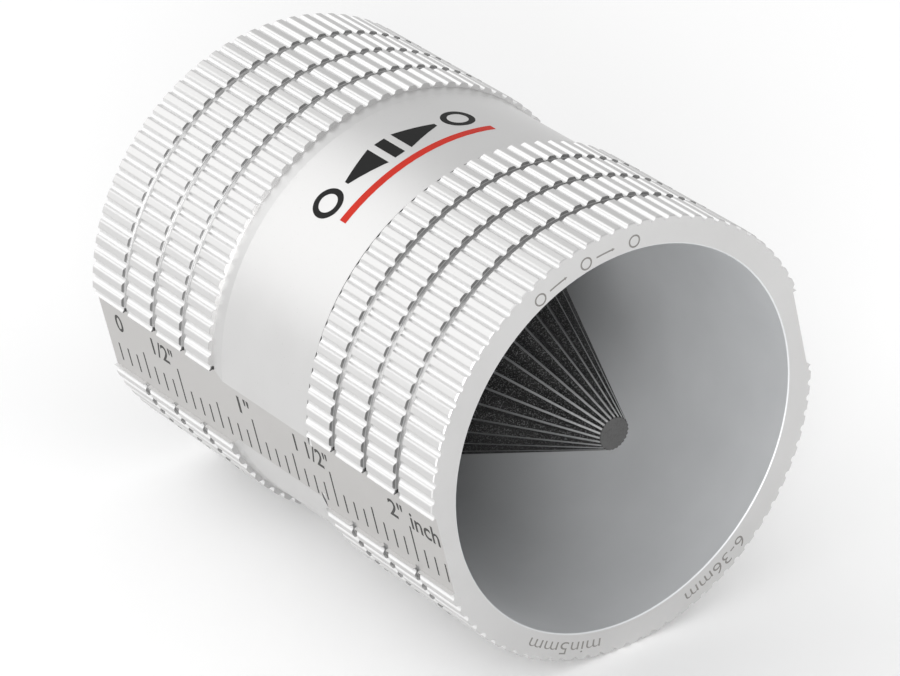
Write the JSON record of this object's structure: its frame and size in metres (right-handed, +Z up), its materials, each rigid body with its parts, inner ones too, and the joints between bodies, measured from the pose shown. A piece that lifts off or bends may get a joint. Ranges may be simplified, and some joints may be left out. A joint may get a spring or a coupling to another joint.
{
  "type": "inner and outer deburring tool",
  "caption": "Short ribbed aluminium sleeve with a fluted cone cutter inside the front mouth and a toothed funnel cutter in the rear, for cleaning tube ends.",
  "frame": {"origin": "on the tool's axis, half way between the rear and the front face", "axes": "-Y along the tool's axis out of the front mouth, +Y out of the rear funnel, +Z up with the tool lying on two of its ribs, +X and -X to the sides; the two flats face the sides, turned 12.3 degrees about the axis"},
  "size_m": [0.045, 0.056, 0.045],
  "materials": {
    "sleeve_aluminium": "satin drawn bar, turned grooves, bright rib crests",
    "cutter_steel": "black oxide with bright ground edges",
    "screw_steel": "black oxide socket screw",
    "pin_steel": "ground dowel",
    "marking_ink": "dark etched and printed marks",
    "stripe_ink": "printed stripe"
  },
  "bodies": {
    "root": {"body_sleeve": "sleeve_aluminium", "cone_cutter": "cutter_steel", "funnel_cutter": "cutter_steel", "centre_screw": "screw_steel", "drive_pins": "pin_steel"}
  },
  "joints": []
}
